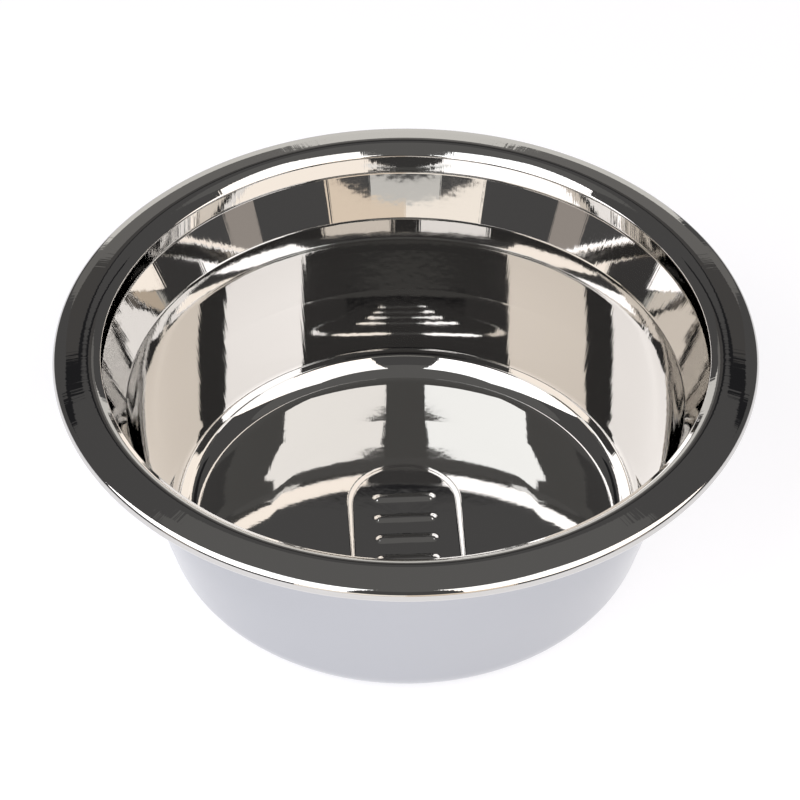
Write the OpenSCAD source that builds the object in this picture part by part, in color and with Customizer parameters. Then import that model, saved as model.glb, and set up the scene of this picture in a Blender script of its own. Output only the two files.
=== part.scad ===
/* [Bowl] */
// Diameter over the curled rim
rim_d = 170; // [150:1:200]
// Height from the table to the top of the rim
bowl_h = 62.4; // [56:0.2:74]
// Thickness of the sheet
sheet_t = 0.7; // [0.5:0.1:1.1]

/* [Wall] */
// Width of the rim from its outer edge to the mouth below it
rim_w = 11.4; // [11:0.1:14]
// Depth of the mouth below the top of the rim
mouth_drop = 7.4; // [6.4:0.1:9]
// Draft of the wider band below the mouth, in degrees from upright
band_draft = 26.5; // [20:0.1:28]
// Height of that band
band_h = 11; // [8:0.1:14]
// Inner radius of the crease between band and wall
crease_r = 3; // [2:0.5:8]
// Draft of the wall just below the crease, in degrees from upright
upper_draft = 11.2; // [8:0.1:12.5]
// Draft of the wall near the floor, in degrees from upright
lower_draft = 14.2; // [13:0.1:17]
// Share of the crease's height at which the wall's draft changes
bow_share = 0.66; // [0.5:0.01:0.75]
// Wide radius between the two drafts of the wall
bow_r = 180; // [60:10:240]
// Inner radius of the corner between floor and wall
foot_bend_r = 8; // [5:0.5:8.5]

/* [Rim] */
// Radius of the lip between the wall and the upright shoulder
lip_r = 1.5; // [1:0.5:4]
// Lean of the upright part of the shoulder, in degrees
shoulder_draft = 3.2; // [1:0.1:4]
// Radius from the shoulder to the flange
shoulder_r = 4.5; // [3:0.1:5]
// Width of the outer part of the flange, which falls towards the curl
fall_w = 3.5; // [3:0.1:4]
// Fall of the flange over that width
flange_fall = 1.4; // [1:0.1:1.7]
// Radius of the bend between the flat and the falling part
crown_r = 13; // [6:1:14]
// Outer radius of the curled edge
curl_r = 1.9; // [1.6:0.1:2.2]
// Straight end of the rolled sheet inside the curl
curl_end = 0.3; // [0.1:0.1:0.5]

/* [Floor] */
// Width of the flat ring on which the bowl stands, measured in from the sharp foot
stand_w = 9; // [8:0.5:12]
// Height of the flat middle above that ring
disc_rise = 0.4; // [0.2:0.1:0.5]
// Fall of the floor from the edge of the flat middle to that ring, in degrees
floor_slope = 1.5; // [1.3:0.1:2]
// Radius of the soft edges where the floor's slope begins and ends
disc_bend_r = 60; // [20:10:60]

/* [Pressed field] */
// Width of the stadium-shaped field
field_w = 29; // [24:1:34]
// Length of the field
field_l = 48; // [42:1:52]
// Distance of its middle from the bowl's, along its length
field_shift = -4; // [-6:0.5:0]
// Height of the field above the floor
field_h = 0.5; // [0.2:0.1:0.6]
// Width of its sloping edge
field_edge_w = 1.4; // [0.8:0.1:2.4]
// Number of plain ribs across the field
rib_count = 4; // [2:1:6]
// Width of each rib
rib_w = 3; // [2:0.2:4]
// Length of each rib
rib_l = 16; // [12:0.5:20]
// Height of each rib above the field
rib_h = 0.5; // [0.2:0.1:0.6]

/* [Hidden] */
$fn = 180;

// Largest turn of one face of a rounded bend, in degrees
bend_step = 6;
// Longest face of a rounded bend, measured along the sheet
face_l = rim_d / 50;
// Share of a rib's width that one of its sloping edges takes
rib_edge_share = 0.3;
// Sliver by which the pressed shapes sink into the sheet that carries them
sink = sheet_t / 4;
// Width of the sloping edge of a rib
rib_edge_w = rib_w * rib_edge_share;
// Distance between the middles of two ribs
rib_pitch = (field_l - field_w + rib_w) / (rib_count - 1);

// Height of the mouth
mouth_z = bowl_h - mouth_drop;
// Distance of the mouth from the axis
mouth_x = rim_d / 2 - rim_w;
// Height and distance from the axis of the crease
crease_z = mouth_z - band_h;
crease_x = mouth_x - band_h * tan(band_draft);
// Height and distance from the axis at which the two drafts of the wall would meet
bow_z = bow_share * crease_z;
bow_x = crease_x - (crease_z - bow_z) * tan(upper_draft);
// Distance from the axis at which the wall would meet the ring on which the bowl stands
foot_x = bow_x - (bow_z - sheet_t) * tan(lower_draft);
// Inner edge of that ring
stand_x = foot_x - stand_w;
// Height and radius of the flat middle of the floor
disc_z = sheet_t + disc_rise;
disc_x = stand_x - disc_rise / tan(floor_slope);
// Distance from the axis at which the upright shoulder would meet the flange
shoulder_x = mouth_x + mouth_drop * tan(shoulder_draft);
// Slope of the falling part of the flange, in degrees
fall_angle = atan(flange_fall / fall_w);
// Heights of the middle and of the lowest ring of the curl
curl_mid_z = bowl_h - flange_fall - curl_r * tan((90 - fall_angle) / 2);
curl_low_z = curl_mid_z - curl_r;

// Corners of the sheet's inner face from the middle of the floor to the end of the curl,
// each with its distance from the axis, its height and the radius that rounds it
corners = [
    [0, disc_z, 0],
    [disc_x, disc_z, disc_bend_r],
    [stand_x, sheet_t, disc_bend_r],
    [foot_x, sheet_t, foot_bend_r],
    [bow_x, bow_z, bow_r],
    [crease_x, crease_z, crease_r],
    [mouth_x, mouth_z, lip_r],
    [shoulder_x, bowl_h, shoulder_r],
    [rim_d / 2 - fall_w, bowl_h, crown_r],
    [rim_d / 2, bowl_h - flange_fall, curl_r],
    [rim_d / 2, curl_low_z, curl_r],
    [rim_d / 2 - 2 * curl_r, curl_low_z, curl_r],
    [rim_d / 2 - 2 * curl_r, curl_mid_z + curl_end, 0]
];

function place(row) = [row[0], row[1]];
function unit(v) = v / norm(v);
function right_of(v) = [v[1], -v[0]];
function reversed(list) = [for (i = [len(list) - 1 : -1 : 0]) list[i]];

// One rounded bend, moved to the right of the path by shift
function bend(before, corner, after, radius, shift) =
    let (
        way_in = unit(corner - before),
        way_out = unit(after - corner),
        turn = atan2(cross(way_in, way_out), way_in * way_out),
        side = sign(turn),
        start = corner - way_in * radius * tan(abs(turn) / 2),
        centre = start - side * radius * right_of(way_in),
        first = atan2(way_in[1], way_in[0]) - side * 90,
        arc_l = radius * abs(turn) * PI / 180,
        steps = max(ceil(abs(turn) / bend_step), ceil(arc_l / face_l))
    )
    [for (i = [0 : steps])
        let (a = first + turn * i / steps)
        centre + (radius + side * shift) * [cos(a), sin(a)]];

// The whole face of the sheet, moved to the right of the path by shift
function face(shift) =
    let (
        last = len(corners) - 1,
        first_way = unit(place(corners[1]) - place(corners[0])),
        last_way = unit(place(corners[last]) - place(corners[last - 1]))
    )
    concat(
        [place(corners[0]) + shift * right_of(first_way)],
        [for (i = [1 : last - 1])
            for (p = bend(place(corners[i - 1]), place(corners[i]), place(corners[i + 1]), corners[i][2], shift)) p],
        [place(corners[last]) + shift * right_of(last_way)]
    );

// A stadium with sloping sides: width and length at its foot, standing on the ground
module pressed_stadium(width, length, height, edge) {
    reach = (length - width) / 2;
    for (side = [-1, 1])
        translate([0, side * reach, 0])
            cylinder(h = height, r1 = width / 2, r2 = width / 2 - edge);
    translate([0, reach, 0])
        rotate([90, 0, 0])
            linear_extrude(2 * reach)
                polygon([
                    [-width / 2, 0],
                    [width / 2, 0],
                    [width / 2 - edge, height],
                    [-width / 2 + edge, height]
                ]);
}

// The field and its ribs, as solids whose feet sink a sliver into the sheet below
module pressing() {
    pressed_stadium(field_w, field_l, field_h + sink, field_edge_w);
    for (i = [0 : rib_count - 1])
        translate([0, (i - (rib_count - 1) / 2) * rib_pitch, field_h])
            rotate([0, 0, 90])
                pressed_stadium(rib_w, rib_l, rib_h + sink, rib_edge_w);
}

module bowl_shell() {
    color("silver")
        difference() {
            union() {
                rotate_extrude()
                    polygon(concat(face(0), reversed(face(sheet_t))));
                translate([0, field_shift, disc_z - sink])
                    pressing();
            }
            translate([0, field_shift, disc_z - sheet_t - sink])
                pressing();
        }
}

bowl_shell();
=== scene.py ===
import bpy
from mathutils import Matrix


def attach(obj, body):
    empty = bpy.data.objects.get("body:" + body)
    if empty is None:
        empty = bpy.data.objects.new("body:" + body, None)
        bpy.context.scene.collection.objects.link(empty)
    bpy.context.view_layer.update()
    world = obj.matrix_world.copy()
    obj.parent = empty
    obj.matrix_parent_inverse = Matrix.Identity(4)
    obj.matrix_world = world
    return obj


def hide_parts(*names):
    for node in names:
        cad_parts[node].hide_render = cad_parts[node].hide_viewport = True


bl_info = {
    "name": "Stainless dog bowl",
    "version": (1, 0, 0),
    "blender": (4, 5, 0),
    "location": "View3D > Sidebar > Dog bowl",
    "description": "Builds a pressed stainless bowl with its finish, and a plain studio round it",
    "category": "Add Mesh",
}

import math

import bpy
from bpy.props import FloatProperty, FloatVectorProperty, IntProperty, PointerProperty
from mathutils import Matrix, Vector

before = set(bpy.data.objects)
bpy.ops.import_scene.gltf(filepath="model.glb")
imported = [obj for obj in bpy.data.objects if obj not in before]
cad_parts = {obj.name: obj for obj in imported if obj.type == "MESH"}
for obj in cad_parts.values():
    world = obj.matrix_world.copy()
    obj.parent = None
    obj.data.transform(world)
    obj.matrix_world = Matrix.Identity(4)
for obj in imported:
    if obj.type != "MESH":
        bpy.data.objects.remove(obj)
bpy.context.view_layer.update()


def linear(colour):
    """An sRGB hex colour as linear red, green and blue."""
    parts = [int(colour[i : i + 2], 16) / 255 for i in (0, 2, 4)]
    return [p / 12.92 if p <= 0.04045 else ((p + 0.055) / 1.055) ** 2.4 for p in parts]


def add(tree, kind, inputs=None, **settings):
    """Adds a node, sets its settings and its inputs, and links each input that is given as a socket."""
    node = tree.nodes.new(kind)
    for name, value in settings.items():
        setattr(node, name, value)
    for key, value in (inputs or {}).items():
        if isinstance(value, bpy.types.NodeSocket):
            tree.links.new(value, node.inputs[key])
        else:
            node.inputs[key].default_value = value
    return node


# Sizes and colours


def length(name, description, default, **limits):
    """A length in metres that the user can change."""
    return FloatProperty(
        name=name, description=description, default=default, unit="LENGTH", precision=5, **limits
    )


def angle(name, description, degrees):
    """An angle that the user can change."""
    return FloatProperty(name=name, description=description, default=math.radians(degrees), subtype="ANGLE")


def colour(name, description, shade):
    """A colour that the user can change, given as sRGB hex."""
    return FloatVectorProperty(
        name=name, description=description, default=linear(shade), size=3, min=0, max=1, subtype="COLOR"
    )


def share(name, description, default, **limits):
    """A plain number that the user can change."""
    return FloatProperty(name=name, description=description, default=default, **limits)


class BowlSizes(bpy.types.PropertyGroup):
    """Sizes of the bowl: the CAD part's, apart from under a millimetre at the shoulder, flange and floor"""

    rim_d: length("Rim diameter", "Diameter over the curled rim", 0.170, min=0.15, max=0.2)
    bowl_h: length("Height", "From the table to the top of the rim", 0.0624, min=0.056, max=0.074)
    sheet_t: length("Sheet", "Thickness of the steel sheet", 0.0007, min=0.0005, max=0.0011)
    rim_w: length("Rim width", "From the outer edge to the mouth", 0.0114)
    mouth_drop: length("Mouth depth", "Depth of the mouth below the rim", 0.0074)
    band_h: length("Band height", "Height of the wider band under the mouth", 0.011)
    band_draft: angle("Band draft", "Lean of the band from upright", 26.5)
    crease_r: length("Crease radius", "Radius between band and wall", 0.003)
    upper_draft: angle("Upper draft", "Lean of the wall just below the crease", 11.2)
    lower_draft: angle("Lower draft", "Lean of the wall near the floor", 14.2)
    bow_share: share(
        "Bow height share", "Share of the crease's height where the lean changes", 0.66, min=0.3, max=0.8
    )
    bow_r: length("Bow radius", "Wide radius between the two leans", 0.18)
    line_z: length("Line height", "Height of the faint line that the drawing tool left in the wall", 0.0381)
    line_bend: angle("Line bend", "Extra lean of the wall above that line", 1.0)
    line_r: length("Line radius", "Radius of the bend at that line", 0.04)
    foot_bend_r: length("Foot radius", "Inner radius between wall and floor", 0.008)
    disc_share: share("Flat middle share", "Share of the floor's width that is flat", 0.583, min=0.3, max=0.8)
    floor_slope: angle("Floor slope", "Fall of the floor from its flat middle to the foot", 1.37)
    disc_bend_r: length("Floor edge radius", "Radius where the floor's slope begins", 0.06)
    lip_r: length("Lip radius", "Radius between band and shoulder", 0.0015)
    edge_z: length(
        "Shoulder edge height", "Height of the edge between the shoulder's upright and dome", 0.06035
    )
    edge_draft: angle(
        "Upright lean", "Lean of the shoulder's upright, negative where it closes a little", -3.5
    )
    edge_r: length("Shoulder edge radius", "Radius of that soft edge", 0.0008)
    shoulder_draft: angle("Dome lean", "Lean of the shoulder's dome from upright", 52.5)
    shoulder_r: length("Dome radius", "Radius from the dome to the flange", 0.0044)
    fall_w: length("Fall width", "Width of the falling part of the flange", 0.007)
    crown_r: length("Crown radius", "Radius between the flat and the falling part", 0.006)
    fall_draft: angle("Fall", "Slope of the falling part", 9.5)
    brink_w: length("Brink width", "Width of the steeper last part of the flange", 0.003)
    brink_draft: angle("Brink slope", "Slope of that last part", 15.5)
    brink_r: length("Brink radius", "Radius between the two slopes", 0.008)
    curl_r: length("Curl radius", "Outer radius of the rolled edge", 0.0019)
    curl_end: length("Curl end", "Straight end of the rolled sheet", 0.0003)
    turns: IntProperty(name="Facets round", description="Faces round the bowl", default=256, min=90, max=720)


class PressingSizes(bpy.types.PropertyGroup):
    """Sizes of the pressed field on the floor and of its plain ribs"""

    field_w: length("Field width", "Width of the stadium-shaped field", 0.029)
    field_l: length("Field length", "Length of the field", 0.048)
    field_shift: length(
        "Field shift", "Distance of the field's middle from the bowl's, along its length", -0.004
    )
    field_h: length("Field height", "Height above the floor", 0.0005)
    field_edge_w: length("Field edge", "Width of the sloping edge", 0.0014)
    rib_count: IntProperty(
        name="Ribs", description="Number of plain ribs across the field", default=4, min=2, max=6
    )
    rib_w: length("Rib width", "Width of each rib", 0.003)
    rib_l: length("Rib length", "Length of each rib", 0.016)
    rib_h: length("Rib height", "Height above the field", 0.0005)


class BowlFinish(bpy.types.PropertyGroup):
    """Colour and polish of the steel"""

    steel: colour("Steel", "Colour of the polished steel", "CDCCCA")
    # the outside's colour is darker and bluer than the steel inside: partly a duller drawn finish, partly a
    # painted reflection of a grey-blue table
    outside_tone_with_painted_reflection: colour("Steel outside", "Colour of the softer outside", "BABCC1")
    peel: length("Orange peel", "Depth of the faint waves in the polish", 4e-6)
    draw_lines: length("Drawing lines", "Depth of the fine lines over the flange and down the wall", 1.2e-5)
    polish: share("Roughness inside", "Roughness of the buffed inside and rim", 0.03, min=0, max=1)
    outside: share("Roughness outside", "Roughness of the drawn outside", 0.16, min=0, max=1)


class StudioSettings(bpy.types.PropertyGroup):
    """The table, and the cards and soft boxes that the steel reflects"""

    turn: angle("Turn", "Turn of camera and studio round the bowl", -3)
    reach: length("Reach", "Distance of the cards from the bowl", 0.78, min=0.3)
    table: colour("Table", "Colour of the table", "F2F2F5")
    card: colour("Card", "Colour of the white card behind the bowl", "F2EFEA")
    room: colour("Room", "Colour of the dim room above", "565555")
    ceiling: colour("Ceiling", "Colour of the grey ceiling", "6B6A69")
    wall: colour("Back wall", "Colour of the wall above the white card", "7A7876")
    upper_wall: colour("Upper wall", "Colour of the darker upper part of that wall", "52504F")
    bar: colour("Black bar", "Colour of the bar that darkens the rim", "262628")
    lamp: share("Lamp brightness", "Brightness of the two soft boxes, where 1 is white", 3.2, min=0)


# Section of the sheet


def section_corners(s):
    """Corners of the inner face, from the floor's middle to the rolled edge: distance, height, radius."""
    tan = math.tan
    rim_r = s.rim_d / 2
    mouth_x, mouth_z = rim_r - s.rim_w, s.bowl_h - s.mouth_drop
    crease_x, crease_z = mouth_x - s.band_h * tan(s.band_draft), mouth_z - s.band_h
    bow_z = crease_z * s.bow_share
    bow_x = crease_x - (crease_z - bow_z) * tan(s.upper_draft)
    line_x = crease_x - (crease_z - s.line_z) * tan(s.upper_draft + s.line_bend)
    # the foot's corner lies where the rounded foot's underside just touches the table
    foot_turn = math.pi / 2 - s.lower_draft + s.floor_slope
    foot_dip = tan(foot_turn / 2) * math.sin(s.floor_slope) - 1 + math.cos(s.floor_slope)
    foot_z = s.sheet_t - s.foot_bend_r * foot_dip
    foot_x = bow_x - (bow_z - foot_z) * tan(s.lower_draft)
    disc_x = s.disc_share * foot_x
    disc_z = foot_z + (foot_x - disc_x) * tan(s.floor_slope)
    edge_x = mouth_x + (s.edge_z - mouth_z) * tan(s.edge_draft)
    shoulder_x = edge_x + (s.bowl_h - s.edge_z) * tan(s.shoulder_draft)
    brink_z = s.bowl_h - (s.fall_w - s.brink_w) * tan(s.fall_draft)
    rim_z = brink_z - s.brink_w * tan(s.brink_draft)
    curl_mid_z = rim_z - s.curl_r * tan((math.pi / 2 - s.brink_draft) / 2)
    curl_low_z = curl_mid_z - s.curl_r
    curl_in_x = rim_r - 2 * s.curl_r
    return [
        (0, disc_z, 0),
        (disc_x, disc_z, s.disc_bend_r),
        (foot_x, foot_z, s.foot_bend_r),
        (bow_x, bow_z, s.bow_r),
        (line_x, s.line_z, s.line_r),
        (crease_x, crease_z, s.crease_r),
        (mouth_x, mouth_z, s.lip_r),
        (edge_x, s.edge_z, s.edge_r),
        (shoulder_x, s.bowl_h, s.shoulder_r),
        (rim_r - s.fall_w, s.bowl_h, s.crown_r),
        (rim_r - s.brink_w, brink_z, s.brink_r),
        (rim_r, rim_z, s.curl_r),
        (rim_r, curl_low_z, s.curl_r),
        (curl_in_x, curl_low_z, s.curl_r),
        (curl_in_x, curl_mid_z + s.curl_end, 0),
    ]


# How finely each face of the sheet is divided, in metres and degrees. The inner face is the mirror, so it
# has two close rows beside each bend, which keep the reflections in the flat parts exact.
INNER_FACE = {"field_step": 0.0004, "row_step": 0.003, "arc_step": 4.5, "close_rows": (0.00012, 0.0004)}
OUTER_FACE = {"field_step": 0.00088, "row_step": 0.0066, "arc_step": 9.9, "close_rows": (0.0005,)}
LEAST_STRAIGHT = 1e-6
LEAST_GAP = 0.00008
LEAST_EDGE = 0.00004


def straight(a, b, detail, field_reach):
    """Points from a to b, closer together under the pressed field."""
    whole = (b - a).length
    if whole < LEAST_STRAIGHT:
        return []
    stops = {0.0, whole}
    if a.x < field_reach:
        step = detail["field_step"]
        stops |= {i * step for i in range(int(min(whole, field_reach) / step) + 1)}
    for close in detail["close_rows"]:
        if whole > 4 * close:
            stops |= {close, whole - close}
    count = max(1, round(whole / detail["row_step"]))
    stops |= {whole * i / count for i in range(count + 1)}
    kept = [0.0]
    for stop in sorted(stops):
        if stop - kept[-1] > LEAST_GAP:
            kept.append(stop)
    return [a + (b - a) * stop / whole for stop in kept]


def sheet_face(corners, shift, detail, field_reach):
    """One face of the sheet as rounded points, moved to the right of its path by shift."""
    places = [Vector((x, z)) for x, z, _ in corners]
    points = []
    here = places[0]
    for i in range(1, len(corners) - 1):
        corner, radius = places[i], corners[i][2]
        way_in, way_out = (corner - places[i - 1]).normalized(), (places[i + 1] - corner).normalized()
        right_in, right_out = Vector((way_in.y, -way_in.x)), Vector((way_out.y, -way_out.x))
        turn = math.atan2(way_in.x * way_out.y - way_in.y * way_out.x, way_in.dot(way_out))
        side = 1 if turn > 0 else -1
        start = corner - way_in * radius * math.tan(abs(turn) / 2)
        centre = start - side * radius * right_in
        points += straight(here + shift * right_in, start + shift * right_in, detail, field_reach)
        first = math.atan2(way_in.y, way_in.x) - side * math.pi / 2
        steps = max(2, round(abs(math.degrees(turn)) / detail["arc_step"]))
        for step in range(steps + 1):
            aim = first + turn * step / steps
            points.append(centre + (radius + side * shift) * Vector((math.cos(aim), math.sin(aim))))
        here = corner + way_out * radius * math.tan(abs(turn) / 2)
    points += straight(here + shift * right_out, places[-1] + shift * right_out, detail, field_reach)
    clean = [points[0]]
    for point in points[1:]:
        if (point - clean[-1]).length > LEAST_EDGE:
            clean.append(point)
    return clean


def section_mesh(s, field_reach):
    """The section as a chain of points for the lathe, out along the inner face and back along the outer."""
    corners = section_corners(s)
    inner = sheet_face(corners, 0.0, INNER_FACE, field_reach)
    outer = sheet_face(corners, s.sheet_t, OUTER_FACE, field_reach)
    points = inner + outer[::-1]
    mesh = bpy.data.meshes.new("bowl_section")
    mesh.from_pydata([(p.x, 0, p.y) for p in points], [(i, i + 1) for i in range(len(points) - 1)], [])
    side = mesh.attributes.new("side", "FLOAT", "POINT")
    side.data.foreach_set("value", [0.0] * len(inner) + [1.0] * len(outer))
    return mesh


# The lathe tree

# Only the floor lies below this height, in metres, and only the floor is pressed
FLOOR_TOP = 0.003
# Share of a rib's width that one of its soft sloping edges takes
RIB_EDGE_SHARE = 0.42


def socket_in(tree, name, kind, value=None):
    """Adds a named input to a tree."""
    item = tree.interface.new_socket(name, in_out="INPUT", socket_type=kind)
    if value is not None:
        item.default_value = value


def math_node(tree, operation, *values, clamp=False):
    """A sum, product or other step of arithmetic, given by its operation."""
    return add(
        tree, "ShaderNodeMath", dict(enumerate(values)), operation=operation, use_clamp=clamp
    ).outputs[0]


def stadium_height(tree, along, across, reach, half_w, edge):
    """0 outside a stadium, 1 on its flat top, with a soft slope along its edge."""
    beyond = math_node(tree, "SUBTRACT", math_node(tree, "ABSOLUTE", along), reach)
    beyond = math_node(tree, "MAXIMUM", beyond, 0.0)
    square = math_node(
        tree, "ADD", math_node(tree, "MULTIPLY", beyond, beyond), math_node(tree, "MULTIPLY", across, across)
    )
    inside = math_node(tree, "SUBTRACT", half_w, math_node(tree, "SQRT", square))
    limits = {"Value": inside, "From Min": 0.0, "From Max": edge, "To Min": 0.0, "To Max": 1.0}
    return add(tree, "ShaderNodeMapRange", limits, interpolation_type="SMOOTHSTEP").outputs[0]


def pressing_lift(tree, given, place):
    """The height of the pressed field and ribs over the floor at a place."""

    def calc(operation, *values):
        return math_node(tree, operation, *values)

    xyz = add(tree, "ShaderNodeSeparateXYZ", {0: place}).outputs
    x, y = xyz[0], calc("SUBTRACT", xyz[1], given["Field shift"])
    half_w = calc("MULTIPLY", given["Field width"], 0.5)
    reach = calc("SUBTRACT", calc("MULTIPLY", given["Field length"], 0.5), half_w)
    field = stadium_height(tree, y, x, reach, half_w, given["Field edge"])
    field = calc("MULTIPLY", field, given["Field height"])

    # the ribs repeat along Y: each point looks only at the nearest one
    spare = calc("SUBTRACT", given["Rib count"], 1)
    half_spare = calc("MULTIPLY", spare, 0.5)
    span = calc("ADD", calc("SUBTRACT", given["Field length"], given["Field width"]), given["Rib width"])
    pitch = calc("DIVIDE", span, spare)
    nearest = calc("ROUND", calc("ADD", calc("DIVIDE", y, pitch), half_spare))
    nearest = calc("MINIMUM", calc("MAXIMUM", nearest, 0.0), spare)
    off = calc("SUBTRACT", y, calc("MULTIPLY", calc("SUBTRACT", nearest, half_spare), pitch))
    rib_half = calc("MULTIPLY", given["Rib width"], 0.5)
    rib_reach = calc("SUBTRACT", calc("MULTIPLY", given["Rib length"], 0.5), rib_half)
    rib_edge = calc("MULTIPLY", given["Rib width"], RIB_EDGE_SHARE)
    rib = calc("MULTIPLY", stadium_height(tree, x, off, rib_reach, rib_half, rib_edge), given["Rib height"])

    on_floor = calc("LESS_THAN", xyz[2], FLOOR_TOP)
    return calc("MULTIPLY", calc("ADD", field, rib), on_floor)


def pressed_bowl_tree():
    """Turns the section round the axis and presses the field and its ribs through both faces of the floor."""
    tree = bpy.data.node_groups.new("pressed_bowl", "GeometryNodeTree")
    socket_in(tree, "Section", "NodeSocketGeometry")
    socket_in(tree, "Turns", "NodeSocketInt", 256)
    for name in ("Field width", "Field length", "Field shift", "Field height", "Field edge"):
        socket_in(tree, name, "NodeSocketFloat", 0.0)
    socket_in(tree, "Rib count", "NodeSocketInt", 4)
    for name in ("Rib width", "Rib length", "Rib height"):
        socket_in(tree, name, "NodeSocketFloat", 0.0)
    socket_in(tree, "Steel", "NodeSocketMaterial")
    tree.interface.new_socket("Geometry", in_out="OUTPUT", socket_type="NodeSocketGeometry")
    given = add(tree, "NodeGroupInput").outputs

    # a flat grid, one row of it for each point of the section
    size = add(tree, "GeometryNodeAttributeDomainSize", {"Geometry": given["Section"]}, component="MESH")
    around = math_node(tree, "ADD", given["Turns"], 1)
    grid = add(
        tree, "GeometryNodeMeshGrid", {"Vertices X": size.outputs["Point Count"], "Vertices Y": around}
    )
    index = add(tree, "GeometryNodeInputIndex").outputs[0]
    ring = math_node(tree, "FLOOR", math_node(tree, "DIVIDE", math_node(tree, "ADD", index, 0.5), around))
    step = math_node(tree, "SUBTRACT", index, math_node(tree, "MULTIPLY", ring, around))
    turned = math_node(tree, "DIVIDE", math_node(tree, "MULTIPLY", step, math.tau), given["Turns"])

    def from_section(value, kind):
        """What the section's point of this row holds."""
        sources = {"Geometry": given["Section"], "Value": value, "Index": ring}
        return add(tree, "GeometryNodeSampleIndex", sources, data_type=kind, domain="POINT").outputs[0]

    place = from_section(add(tree, "GeometryNodeInputPosition").outputs[0], "FLOAT_VECTOR")
    place = add(
        tree, "ShaderNodeVectorRotate", {"Vector": place, "Angle": turned}, rotation_type="Z_AXIS"
    ).outputs[0]
    lift = add(tree, "ShaderNodeCombineXYZ", {"Z": pressing_lift(tree, given, place)}).outputs[0]
    place = add(tree, "ShaderNodeVectorMath", {0: place, 1: lift}, operation="ADD").outputs[0]
    side = add(tree, "GeometryNodeInputNamedAttribute", {"Name": "side"}, data_type="FLOAT").outputs[0]

    bowl = add(
        tree,
        "GeometryNodeStoreNamedAttribute",
        {"Geometry": grid.outputs[0], "Name": "outside", "Value": from_section(side, "FLOAT")},
        data_type="FLOAT",
        domain="POINT",
    )
    bowl = add(tree, "GeometryNodeSetPosition", {"Geometry": bowl.outputs[0], "Position": place})
    # closes the seam and the poles
    bowl = add(tree, "GeometryNodeMergeByDistance", {"Geometry": bowl.outputs[0], "Distance": 1e-6})
    bowl = add(tree, "GeometryNodeSetShadeSmooth", {"Geometry": bowl.outputs[0], "Shade Smooth": True})
    bowl = add(tree, "GeometryNodeRealizeInstances", {0: bowl.outputs[0]})
    bowl = add(tree, "GeometryNodeSetMaterial", {"Geometry": bowl.outputs[0], "Material": given["Steel"]})
    add(tree, "NodeGroupOutput", {0: bowl.outputs[0]})
    return tree


def made_by_tree(name, start, tree, values):
    """A plain mesh object made by a tree from a start mesh, with the tree's inputs given by name."""
    carrier = bpy.data.objects.new(name + "_start", start)
    bpy.context.scene.collection.objects.link(carrier)
    modifier = carrier.modifiers.new("tree", "NODES")
    modifier.node_group = tree
    for item in tree.interface.items_tree:
        if item.item_type == "SOCKET" and item.in_out == "INPUT" and item.name in values:
            modifier[item.identifier] = values[item.name]
    bpy.context.view_layer.update()
    graph = bpy.context.evaluated_depsgraph_get()
    evaluated = carrier.evaluated_get(graph)
    mesh = bpy.data.meshes.new_from_object(evaluated, preserve_all_data_layers=True, depsgraph=graph)
    mesh.name = name
    bpy.data.objects.remove(carrier)
    piece = bpy.data.objects.new(name, mesh)
    bpy.context.scene.collection.objects.link(piece)
    return piece


# Materials

# Fine lines that the die pulled into the sheet. The real ones are about 0.3 mm apart; they are drawn about
# 0.9 mm apart, so that they show, and some thirty times as long. Their spacing holds at the flange.
LINES_PER_MM = 1.1
LINE_STRETCH = 0.03
FLANGE_R_MM = 80.0
# Distances from the axis, in mm, between which the lines grow from faint to full
LINES_FAINT_MM, LINES_FULL_MM = 55.0, 76.0
LINES_FAINT_SHARE = 0.1
# Orange peel of the drawn sheet, with waves about 2 mm wide
PEEL_PER_MM = 0.45
# Rings of the buffing wheel. The real ones are under 0.1 mm; they are drawn 0.3 mm wide, so that they show
RINGS_PER_MM = 3.0


def new_material(name):
    """An empty material and its tree."""
    material = bpy.data.materials.new(name)
    material.use_nodes = True
    material.node_tree.nodes.clear()
    return material, material.node_tree


def mixed_colour(tree, amount, first, second):
    """The first colour where amount is 0 and the second where it is 1."""
    mix = add(tree, "ShaderNodeMix", data_type="RGBA")
    tree.links.new(amount, mix.inputs[0])
    mix.inputs[6].default_value = (*first, 1)
    mix.inputs[7].default_value = (*second, 1)
    return mix.outputs[2]


def relief(tree, height, depth, normal=None):
    """A bump of the given real depth in metres, on top of an earlier one if given."""
    inputs = {"Height": height, "Strength": 1.0, "Distance": depth}
    if normal is not None:
        inputs["Normal"] = normal
    return add(tree, "ShaderNodeBump", inputs).outputs[0]


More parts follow.
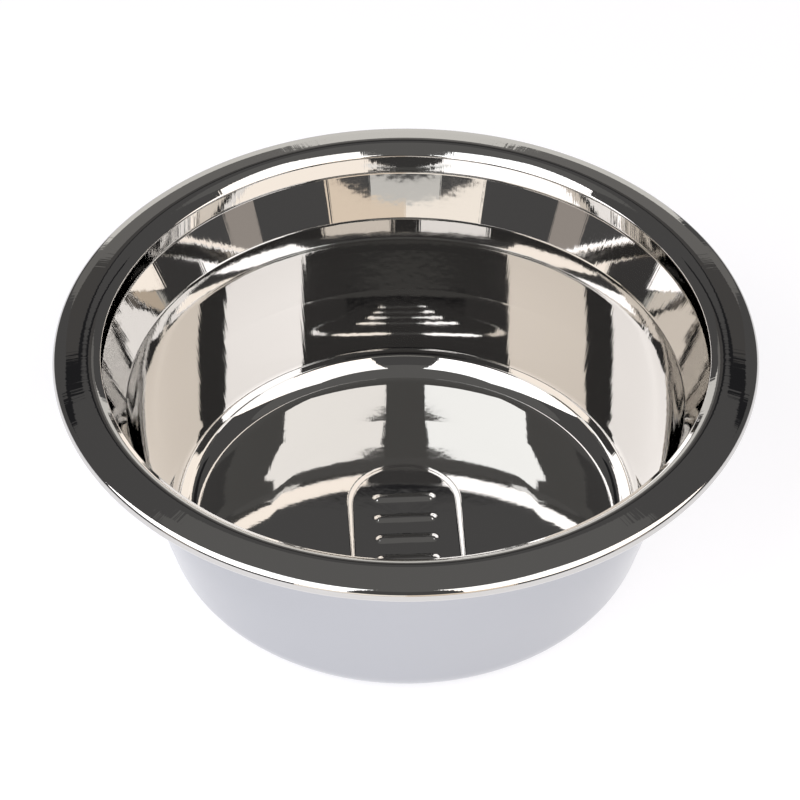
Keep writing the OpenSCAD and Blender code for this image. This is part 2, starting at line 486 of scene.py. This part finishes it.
def buffed_stainless(finish):
    """Stainless sheet, deep drawn and then buffed: a mirror inside and on the rim, a satin outside."""
    steel, tree = new_material("buffed_stainless")

    def calc(operation, *values):
        return math_node(tree, operation, *values)

    def noise(place, scale, **inputs):
        return add(tree, "ShaderNodeTexNoise", {"Vector": place, "Scale": scale, **inputs}).outputs["Fac"]

    place = add(tree, "ShaderNodeTexCoord").outputs["Object"]
    to_mm = {0: place, 1: (1000, 1000, 1000)}
    millimetres = add(tree, "ShaderNodeVectorMath", to_mm, operation="MULTIPLY").outputs[0]
    x, y, z = add(tree, "ShaderNodeSeparateXYZ", {0: millimetres}).outputs
    distance = calc("SQRT", calc("ADD", calc("MULTIPLY", x, x), calc("MULTIPLY", y, y)))
    side = add(tree, "ShaderNodeAttribute", attribute_name="outside").outputs["Fac"]

    # the sheet was pulled over the die's edge: fine lines run outwards over the flange and down the wall,
    # and they fray the edges of what the rim reflects
    near = calc("MAXIMUM", distance, 1.0)
    round_rim = {
        "X": calc("MULTIPLY", calc("DIVIDE", x, near), FLANGE_R_MM),
        "Y": calc("MULTIPLY", calc("DIVIDE", y, near), FLANGE_R_MM),
        "Z": calc("MULTIPLY", calc("SUBTRACT", distance, z), LINE_STRETCH),
    }
    round_rim = add(tree, "ShaderNodeCombineXYZ", round_rim).outputs[0]
    lines = noise(round_rim, LINES_PER_MM, Detail=2.0, Roughness=0.55)
    drawn = {
        "Value": distance,
        "From Min": LINES_FAINT_MM,
        "From Max": LINES_FULL_MM,
        "To Min": LINES_FAINT_SHARE,
    }
    drawn = add(tree, "ShaderNodeMapRange", drawn).outputs[0]
    # the peel lets straight reflections waver
    shape = relief(tree, noise(millimetres, PEEL_PER_MM, Detail=1.0), finish.peel)
    shape = relief(tree, calc("MULTIPLY", lines, drawn), finish.draw_lines, shape)

    # the rings widen the highlights a little, more in some places than in others
    rings = add(tree, "ShaderNodeCombineXYZ", {"X": distance, "Y": z}).outputs[0]
    rings = noise(rings, RINGS_PER_MM, Detail=3.0)
    worn = {"Value": rings, "From Min": 0.3, "From Max": 0.7, "To Min": 0.75, "To Max": 1.25}
    worn = add(tree, "ShaderNodeMapRange", worn).outputs[0]
    shine = {"Value": side, "To Min": finish.polish, "To Max": finish.outside}
    shine = add(tree, "ShaderNodeMapRange", shine).outputs[0]

    shader = add(
        tree,
        "ShaderNodeBsdfPrincipled",
        {
            # the outside's darker, bluer colour is partly a painted reflection of a grey-blue table
            "Base Color": mixed_colour(tree, side, finish.steel, finish.outside_tone_with_painted_reflection),
            "Metallic": 1.0,
            "Roughness": calc("MULTIPLY", shine, worn),
            "Normal": shape,
        },
    )
    add(tree, "ShaderNodeOutputMaterial", {"Surface": shader.outputs[0]})
    return steel


def plain_surface(name, colour, matt_share, glow):
    """A matt surface that catches light by one share and shows its own colour by another."""
    matt, tree = new_material(name)
    diffuse = add(tree, "ShaderNodeBsdfDiffuse", {"Color": (*[part * matt_share for part in colour], 1)})
    ray = add(tree, "ShaderNodeLightPath").outputs
    seen = math_node(tree, "ADD", ray["Is Camera Ray"], ray["Is Glossy Ray"])
    seen = math_node(tree, "ADD", seen, ray["Is Transmission Ray"], clamp=True)
    light = {"Color": (*colour, 1), "Strength": math_node(tree, "MULTIPLY", seen, glow)}
    light = add(tree, "ShaderNodeEmission", light)
    both = add(tree, "ShaderNodeAddShader", {0: diffuse.outputs[0], 1: light.outputs[0]}).outputs[0]
    add(tree, "ShaderNodeOutputMaterial", {"Surface": both})
    return matt


def lit_panel(name, colour, strength):
    """A cloth or board that shows one even tone."""
    panel, tree = new_material(name)
    light = add(tree, "ShaderNodeEmission", {"Color": (*colour, 1), "Strength": strength})
    add(tree, "ShaderNodeOutputMaterial", {"Surface": light.outputs[0]})
    return panel


# The bowl


class BOWL_OT_make_shell(bpy.types.Operator):
    """Make the pressed bowl from one sheet, with its rolled rim and the pressed field on its floor"""

    bl_idname = "bowl.make_shell"
    bl_label = "Bowl shell"

    def execute(self, context):
        sizes, pressing, finish = (
            context.scene.bowl_sizes, context.scene.bowl_pressing, context.scene.bowl_finish
        )
        steel = buffed_stainless(finish)
        # the fine rows of the floor end half a millimetre past the field
        field_reach = pressing.field_l / 2 + abs(pressing.field_shift) + 0.0005
        bowl = made_by_tree(
            "steel_bowl",
            section_mesh(sizes, field_reach),
            pressed_bowl_tree(),
            {
                "Turns": sizes.turns,
                "Field width": pressing.field_w,
                "Field length": pressing.field_l,
                "Field shift": pressing.field_shift,
                "Field height": pressing.field_h,
                "Field edge": pressing.field_edge_w,
                "Rib count": pressing.rib_count,
                "Rib width": pressing.rib_w,
                "Rib length": pressing.rib_l,
                "Rib height": pressing.rib_h,
                "Steel": steel,
            },
        )
        if not bowl.data.polygons:
            raise RuntimeError("the lathe tree made no faces")
        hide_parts("bowl_shell")
        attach(bowl, "root")
        return {"FINISHED"}


# The studio. The steel shows it all round, so each card has its own azimuths and elevations as seen from the
# bowl, in degrees, with azimuth 0 behind the bowl and 180 at the camera.

# name, azimuths, elevations, share of the lamp's brightness, colour of the right and of the left box
SOFT_BOXES = (
    ("soft_box", (88, 164), (16, 60), 1.0, "E3DAD2", "FFFCFD"),
    ("soft_box_top", (88, 164), (60, 71), 0.735, "F1EEEC", "FDFEFF"),
)
# name, azimuths, elevations, kind of card
PLAIN_CARDS = (
    ("back_card", (-26, 22), (0, 17.6), "white"),
    ("low_card_left", (-123, -111), (0, 12.5), "beige"),
    ("low_card_right", (111, 123), (0, 12.5), "beige"),
    ("front_card_right", (151, 180), (0, 14.7), "lit_right"),
    ("front_card_left", (180, 209), (0, 14.7), "lit_left"),
    ("front_card_top", (167, 193), (14.7, 15.7), "white"),
)
# name, azimuths, elevations, setting that holds the colour, distance beyond the other cards
ROOM_CARDS = (
    ("grey_wall", (-31, 31), (17.6, 27.0), "wall", 0.0),
    ("upper_wall", (-31, 31), (27.0, 36.3), "upper_wall", 0.0),
    ("black_bar", (-50, 50), (36.4, 40.4), "bar", 0.0),
    ("grey_ceiling", (-180, 180), (57, 90), "ceiling", 0.02),
)
# Height of the point that the cards are curved round, in metres
CARDS_CENTRE_Z = 0.06
CARD_FACES = (24, 12)
# Half the table's width in metres
TABLE_HALF = 4
TABLE_MATT_SHARE, TABLE_GLOW = 0.4, 0.84
WHITE_CARD_GLOW = 0.95
LIT_CARDS = {"lit_right": ("FFEBD5", 1.1), "lit_left": ("FFF5EA", 1.42), "beige": ("B1A8A1", 1.0)}

# The camera: distance in rim radii, angle down, focal length and sideways shift in pixels of an 800 pixel
# frame, height of the rim's widest circle in metres, and depth of the aim below it in rim radii
CAMERA_DISTANCE, CAMERA_DOWN, CAMERA_FOCUS, CAMERA_SIDE = 9, 42.27, 3122, -5.6
RIM_CIRCLE_Z, AIM_DEPTH = 0.0597, 0.2105
FRAME_W, SENSOR_W = 800, 36


def card(name, reach, turn, azimuths, heights, material):
    """A curved card round the bowl: a patch of a sphere between two azimuths and two elevations."""
    across, up = CARD_FACES
    verts, faces = [], []
    for j in range(up + 1):
        for i in range(across + 1):
            azimuth = math.radians(azimuths[0] + (azimuths[1] - azimuths[0]) * i / across) - turn
            height = math.radians(heights[0] + (heights[1] - heights[0]) * j / up)
            out = reach * math.cos(height)
            z = reach * math.sin(height) + CARDS_CENTRE_Z
            verts.append((out * math.sin(azimuth), out * math.cos(azimuth), z))
    for j in range(up):
        for i in range(across):
            a = j * (across + 1) + i
            faces.append((a, a + 1, a + across + 2, a + across + 1))
    mesh = bpy.data.meshes.new(name)
    mesh.from_pydata(verts, [], faces)
    mesh.materials.append(material)
    piece = bpy.data.objects.new(name, mesh)
    bpy.context.scene.collection.objects.link(piece)
    # the steel shows the card, but the card never stands in front of a camera
    piece.visible_camera = False


def make_table(studio):
    """The white table that the bowl stands on."""
    mesh = bpy.data.meshes.new("table")
    half = TABLE_HALF
    mesh.from_pydata(
        [(-half, -half, 0), (half, -half, 0), (half, half, 0), (-half, half, 0)], [], [(0, 1, 2, 3)]
    )
    mesh.materials.append(plain_surface("white_laminate", studio.table, TABLE_MATT_SHARE, TABLE_GLOW))
    table = bpy.data.objects.new("table", mesh)
    bpy.context.scene.collection.objects.link(table)


def make_cards(studio):
    """The soft boxes, the cards and the walls that the steel reflects."""
    for name, azimuths, heights, brightness, right_colour, left_colour in SOFT_BOXES:
        right = lit_panel(name + "_cloth_right", linear(right_colour), brightness * studio.lamp)
        left = lit_panel(name + "_cloth_left", linear(left_colour), brightness * studio.lamp)
        card(name + "_right", studio.reach, studio.turn, azimuths, heights, right)
        card(name + "_left", studio.reach, studio.turn, [-a for a in azimuths], heights, left)
    kinds = {
        kind: lit_panel(kind + "_card", linear(shade), glow) for kind, (shade, glow) in LIT_CARDS.items()
    }
    kinds["white"] = lit_panel("white_card", studio.card, WHITE_CARD_GLOW)
    for name, azimuths, heights, kind in PLAIN_CARDS:
        card(name, studio.reach, studio.turn, azimuths, heights, kinds[kind])
    for name, azimuths, heights, setting, beyond in ROOM_CARDS:
        tone = lit_panel(name, getattr(studio, setting), 1.0)
        card(name, studio.reach + beyond, studio.turn, azimuths, heights, tone)


def make_room(studio):
    """The dim room beyond the cards."""
    world = bpy.data.worlds.new("dim_room")
    bpy.context.scene.world = world
    world.use_nodes = True
    tree = world.node_tree
    tree.nodes.clear()
    room = add(tree, "ShaderNodeBackground", {"Color": (*studio.room, 1), "Strength": 1.0})
    add(tree, "ShaderNodeOutputWorld", {"Surface": room.outputs[0]})


def place_camera(scene):
    """The camera at the photograph's angle."""
    rim_r, turn = scene.bowl_sizes.rim_d / 2, scene.bowl_studio.turn
    distance, down = CAMERA_DISTANCE * rim_r, math.radians(CAMERA_DOWN)
    side = CAMERA_SIDE * CAMERA_DISTANCE / CAMERA_FOCUS * rim_r
    aim_z = RIM_CIRCLE_Z - AIM_DEPTH * rim_r
    place = Vector((side, -distance * math.cos(down), aim_z + distance * math.sin(down)))
    data = bpy.data.cameras.new("camera")
    data.sensor_width = SENSOR_W
    data.lens = CAMERA_FOCUS / FRAME_W * SENSOR_W
    data.clip_start, data.clip_end = 0.01, 50
    camera = bpy.data.objects.new("camera", data)
    camera.location = Matrix.Rotation(turn, 3, "Z") @ place
    camera.rotation_euler = (math.pi / 2 - down, 0, turn)
    scene.collection.objects.link(camera)
    scene.camera = camera


class BOWL_OT_make_studio(bpy.types.Operator):
    """Make the table, the soft boxes and cards round the bowl, the dim room and the camera"""

    bl_idname = "bowl.make_studio"
    bl_label = "Studio"

    def execute(self, context):
        studio = context.scene.bowl_studio
        make_table(studio)
        make_cards(studio)
        make_room(studio)
        place_camera(context.scene)
        return {"FINISHED"}


class BOWL_PT_panel(bpy.types.Panel):
    """Lists the steps and their sizes"""

    bl_label = "Dog bowl"
    bl_idname = "BOWL_PT_panel"
    bl_space_type = "VIEW_3D"
    bl_region_type = "UI"
    bl_category = "Dog bowl"

    def draw(self, context):
        for operator, groups in STEPS:
            self.layout.operator(operator)
            for name in groups:
                settings = getattr(context.scene, name)
                for key in type(settings).__annotations__:
                    self.layout.prop(settings, key)


STEPS = (
    ("bowl.make_shell", ("bowl_sizes", "bowl_pressing", "bowl_finish")),
    ("bowl.make_studio", ("bowl_studio",)),
)
GROUPS = {
    "bowl_sizes": BowlSizes,
    "bowl_pressing": PressingSizes,
    "bowl_finish": BowlFinish,
    "bowl_studio": StudioSettings,
}
CLASSES = (*GROUPS.values(), BOWL_OT_make_shell, BOWL_OT_make_studio, BOWL_PT_panel)


def register():
    for entry in CLASSES:
        bpy.utils.register_class(entry)
    for name, group in GROUPS.items():
        setattr(bpy.types.Scene, name, PointerProperty(type=group))


def unregister():
    for name in GROUPS:
        delattr(bpy.types.Scene, name)
    for entry in reversed(CLASSES):
        bpy.utils.unregister_class(entry)


def main():
    """Builds everything in order."""
    register()
    bpy.context.scene.view_settings.view_transform = "Standard"
    bpy.ops.bowl.make_shell()
    bpy.ops.bowl.make_studio()


if __name__ == "__main__":
    main()
